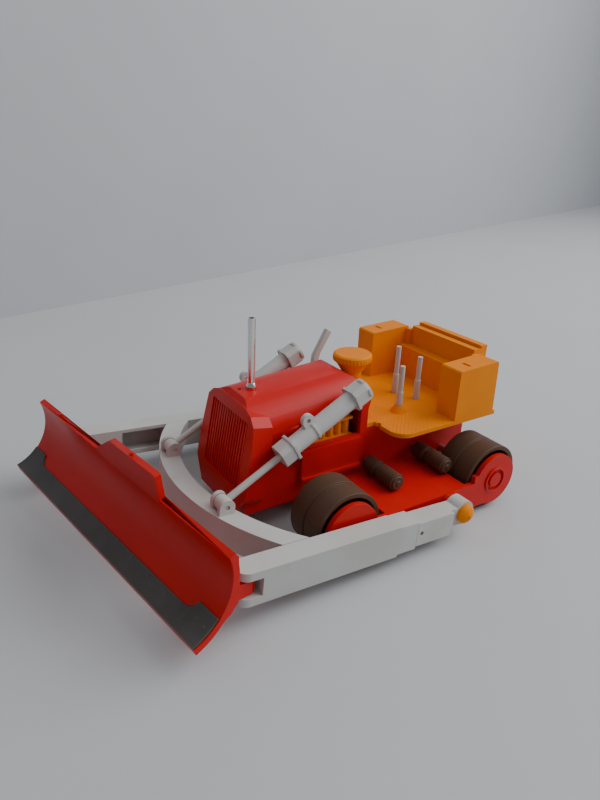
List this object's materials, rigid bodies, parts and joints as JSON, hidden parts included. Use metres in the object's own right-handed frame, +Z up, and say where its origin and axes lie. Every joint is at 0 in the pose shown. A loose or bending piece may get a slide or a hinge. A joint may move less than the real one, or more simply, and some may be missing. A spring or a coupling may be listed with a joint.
{
  "type": "toy bulldozer",
  "caption": "Toy crawler bulldozer with a wide angling blade on a lifting push frame, two lift cylinders, bonnet, driver's deck and bare track wheels.",
  "frame": {"origin": "middle of the flat chassis belly, 8 mm above the ground", "axes": "+X forwards to the blade, +Y to the driver's left, +Z up"},
  "size_m": [0.1613, 0.1135, 0.0713],
  "materials": {
    "red_plastic": "glossy moulded polystyrene",
    "orange_plastic": "satin moulded plastic",
    "grey_plastic": "satin, slightly yellowed",
    "brown_plastic": "satin",
    "edge_coating": "dull grey coating, scuffed",
    "steel": "bright wire",
    "chrome": "bright plated"
  },
  "bodies": {
    "chassis": {"chassis": "red_plastic", "hood": "red_plastic", "engine": "orange_plastic", "deck": "orange_plastic", "exhaust": "chrome", "air_cleaner": "orange_plastic", "side_stick": "grey_plastic", "lever_left": "grey_plastic", "lever_middle": "grey_plastic", "lever_right": "grey_plastic", "track_frame_left": "red_plastic", "track_frame_right": "red_plastic", "axle_front": "steel", "axle_rear": "steel", "roller_pins": "steel", "pivot_cap_left": "orange_plastic", "pivot_cap_right": "orange_plastic"},
    "wheel_front_left": {"wheel_front_left": "brown_plastic"},
    "wheel_front_right": {"wheel_front_right": "brown_plastic"},
    "wheel_rear_left": {"wheel_rear_left": "brown_plastic"},
    "wheel_rear_right": {"wheel_rear_right": "brown_plastic"},
    "roller_front_left": {"roller_front_left": "brown_plastic"},
    "roller_front_right": {"roller_front_right": "brown_plastic"},
    "roller_rear_left": {"roller_rear_left": "brown_plastic"},
    "roller_rear_right": {"roller_rear_right": "brown_plastic"},
    "push_frame": {"push_frame": "grey_plastic", "rear_bar_left": "grey_plastic", "rear_bar_right": "grey_plastic", "clevis_pins": "grey_plastic"},
    "blade": {"blade": "red_plastic", "cutting_edge": "edge_coating"},
    "fork_left": {"fork_left": "grey_plastic", "fork_pin_left": "grey_plastic"},
    "fork_right": {"fork_right": "grey_plastic", "fork_pin_right": "grey_plastic"},
    "barrel_left": {"barrel_left": "grey_plastic"},
    "rod_left": {"rod_left": "grey_plastic"},
    "barrel_right": {"barrel_right": "grey_plastic"},
    "rod_right": {"rod_right": "grey_plastic"}
  },
  "joints": [
    {"name": "wheel_front_left_spin", "type": "hinge", "parent": "chassis", "child": "wheel_front_left", "pos_m": [0.0323, 0.0335, 0.0043], "axis": [0, 1, 0], "continuous": true},
    {"name": "wheel_front_right_spin", "type": "hinge", "parent": "chassis", "child": "wheel_front_right", "pos_m": [0.0323, -0.0335, 0.0043], "axis": [0, 1, 0], "continuous": true},
    {"name": "wheel_rear_left_spin", "type": "hinge", "parent": "chassis", "child": "wheel_rear_left", "pos_m": [-0.0323, 0.0335, 0.0043], "axis": [0, 1, 0], "continuous": true},
    {"name": "wheel_rear_right_spin", "type": "hinge", "parent": "chassis", "child": "wheel_rear_right", "pos_m": [-0.0323, -0.0335, 0.0043], "axis": [0, 1, 0], "continuous": true},
    {"name": "roller_front_left_spin", "type": "hinge", "parent": "chassis", "child": "roller_front_left", "pos_m": [0.0063, 0.025, 0.0091], "axis": [0, 1, 0], "continuous": true},
    {"name": "roller_front_right_spin", "type": "hinge", "parent": "chassis", "child": "roller_front_right", "pos_m": [0.0063, -0.025, 0.0091], "axis": [0, 1, 0], "continuous": true},
    {"name": "roller_rear_left_spin", "type": "hinge", "parent": "chassis", "child": "roller_rear_left", "pos_m": [-0.0168, 0.025, 0.0091], "axis": [0, 1, 0], "continuous": true},
    {"name": "roller_rear_right_spin", "type": "hinge", "parent": "chassis", "child": "roller_rear_right", "pos_m": [-0.0168, -0.025, 0.0091], "axis": [0, 1, 0], "continuous": true},
    {"name": "lift", "type": "hinge", "parent": "chassis", "child": "push_frame", "pos_m": [-0.0098, 0, 0.0015], "axis": [0, -1, 0], "range_deg": [-3.6, 6]},
    {"name": "blade_angle", "type": "hinge", "parent": "push_frame", "child": "blade", "pos_m": [0.08156, 0, 0.00614], "axis": [-0.0715, 0, 0.9974], "range_deg": [-20.8, 0]},
    {"name": "fork_left_slide", "type": "slide", "parent": "push_frame", "child": "fork_left", "axis": [0.9974, 0, 0.0715], "range_m": [0, 0.01772]},
    {"name": "fork_right_slide", "type": "slide", "parent": "push_frame", "child": "fork_right", "axis": [0.9974, 0, 0.0715], "range_m": [-0.01772, 0]},
    {"name": "barrel_left_tilt", "type": "hinge", "parent": "chassis", "child": "barrel_left", "pos_m": [0.03318, 0.0208, 0.0305], "axis": [0, -1, 0], "range_deg": [-6.16, 10.26]},
    {"name": "rod_left_slide", "type": "slide", "parent": "barrel_left", "child": "rod_left", "axis": [0.8824, 0, -0.4706], "range_m": [-0.00466, 0.0028]},
    {"name": "barrel_right_tilt", "type": "hinge", "parent": "chassis", "child": "barrel_right", "pos_m": [0.03318, -0.0208, 0.0305], "axis": [0, -1, 0], "range_deg": [-6.16, 10.26]},
    {"name": "rod_right_slide", "type": "slide", "parent": "barrel_right", "child": "rod_right", "axis": [0.8824, 0, -0.4706], "range_m": [-0.00466, 0.0028]}
  ],
  "couplings": [
    {"joint": "fork_left_slide", "follows": "blade_angle", "m_per_rad": -0.048787},
    {"joint": "fork_right_slide", "follows": "blade_angle", "m_per_rad": 0.048787},
    {"joint": "barrel_left_tilt", "follows": "lift", "ratio": 1.708},
    {"joint": "rod_left_slide", "follows": "lift", "m_per_rad": -0.044404},
    {"joint": "barrel_right_tilt", "follows": "lift", "ratio": 1.708},
    {"joint": "rod_right_slide", "follows": "lift", "m_per_rad": -0.044404}
  ]
}
